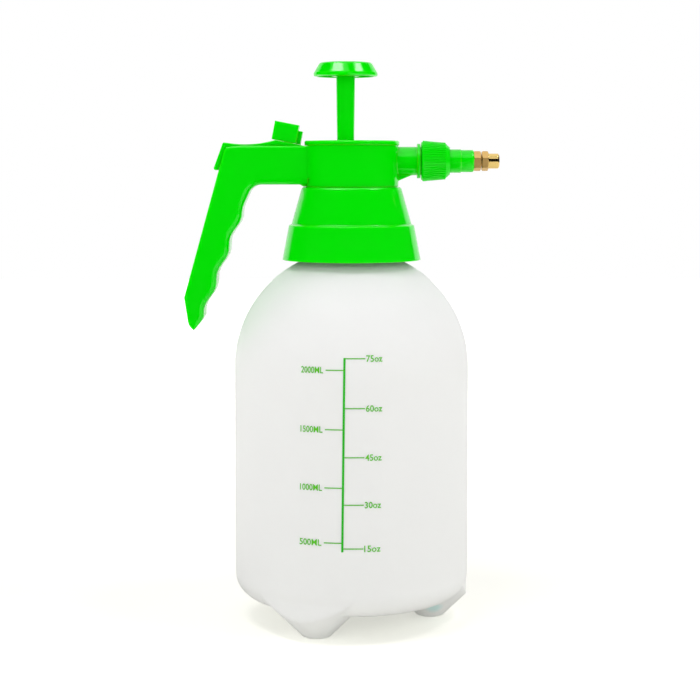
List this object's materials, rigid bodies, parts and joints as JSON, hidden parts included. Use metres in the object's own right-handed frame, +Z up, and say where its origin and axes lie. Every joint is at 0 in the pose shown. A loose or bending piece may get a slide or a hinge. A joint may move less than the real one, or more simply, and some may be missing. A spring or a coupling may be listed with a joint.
{
  "type": "pump sprayer",
  "caption": "One-hand pressure sprayer with a domed translucent bottle on feet, a green screw-on pump head with a thumb trigger handle, and a brass adjustable nozzle.",
  "frame": {"origin": "on the bottle's axis, at the floor that the three feet stand on", "axes": "+Z up along the bottle's axis, +X along the spray, +Y towards the back of the picture"},
  "size_m": [0.187, 0.14, 0.3338],
  "materials": {
    "clear_white": "translucent satin white",
    "green": "glossy bright green",
    "white_plastic": "moulded natural white",
    "hose": "translucent tube",
    "teal": "moulded blue green",
    "rubber": "black rubber",
    "steel": "bright steel",
    "brass": "turned brass"
  },
  "bodies": {
    "bottle": {"bottle": "clear_white"},
    "head": {"neck_gasket": "rubber", "head_housing": "green", "head_lid": "green", "pump_cylinder": "white_plastic", "barrel_seal": "rubber", "check_valve": "rubber", "trigger_pin": "steel", "valve_spring": "steel", "valve_gland": "white_plastic", "gland_ring": "rubber", "dip_tube": "hose", "strainer": "teal"},
    "collar": {"screw_collar": "green"},
    "plunger": {"pump_rod": "green", "pump_knob": "green", "piston": "white_plastic", "piston_cup": "rubber", "piston_screw": "steel"},
    "trigger": {"trigger_lever": "green"},
    "lock": {"lock_slide": "green"},
    "valve": {"pull_bar": "steel", "valve_needle": "steel", "needle_seal": "rubber"},
    "nozzle": {"nozzle_tube": "green", "nozzle_base": "brass", "swirl_core": "steel", "outlet_washer": "rubber"},
    "nut": {"outlet_nut": "green"},
    "tip_carrier": {"tip_ring": "rubber"},
    "tip": {"nozzle_tip": "brass"}
  },
  "joints": [
    {"name": "head_lift", "type": "slide", "parent": "bottle", "child": "head", "axis": [0, 0, 1], "range_m": [0, 0.01]},
    {"name": "collar_unscrew", "type": "hinge", "parent": "head", "child": "collar", "pos_m": [0, 0, 0.238], "axis": [0, 0, 1], "range_deg": [0, 900]},
    {"name": "pump_stroke", "type": "slide", "parent": "head", "child": "plunger", "axis": [0, 0, 1], "range_m": [-0.0376, 0.03]},
    {"name": "trigger_press", "type": "hinge", "parent": "head", "child": "trigger", "pos_m": [-0.07, 0, 0.27897], "axis": [0, 1, 0], "range_deg": [0, 9], "stiffness_Nm_per_rad": 1.2, "springref_deg": -6.88},
    {"name": "lock_shift", "type": "slide", "parent": "trigger", "child": "lock", "axis": [-0.9816, 0, 0.1908], "range_m": [0, 0.004]},
    {"name": "valve_pull", "type": "slide", "parent": "head", "child": "valve", "axis": [1, 0, 0], "range_m": [-0.0019, 0], "deforming": ["valve_spring"]},
    {"name": "nozzle_draw", "type": "slide", "parent": "head", "child": "nozzle", "axis": [1, 0, 0], "range_m": [0, 0.004]},
    {"name": "nut_unscrew", "type": "hinge", "parent": "nozzle", "child": "nut", "pos_m": [0.05, 0, 0.27557], "axis": [1, 0, 0], "range_deg": [0, 720]},
    {"name": "tip_draw", "type": "slide", "parent": "nozzle", "child": "tip_carrier", "axis": [1, 0, 0], "range_m": [-0.0004, 0.0016]},
    {"name": "tip_turn", "type": "hinge", "parent": "tip_carrier", "child": "tip", "pos_m": [0.08, 0, 0.27557], "axis": [1, 0, 0], "range_deg": [-180, 720]}
  ],
  "couplings": [
    {"joint": "head_lift", "follows": "collar_unscrew", "m_per_rad": 0.00063661},
    {"joint": "valve_pull", "follows": "trigger_press", "m_per_rad": -0.0118},
    {"joint": "nut_unscrew", "follows": "nozzle_draw", "rad_per_m": 3141.6},
    {"joint": "tip_turn", "follows": "tip_draw", "rad_per_m": 7854}
  ]
}
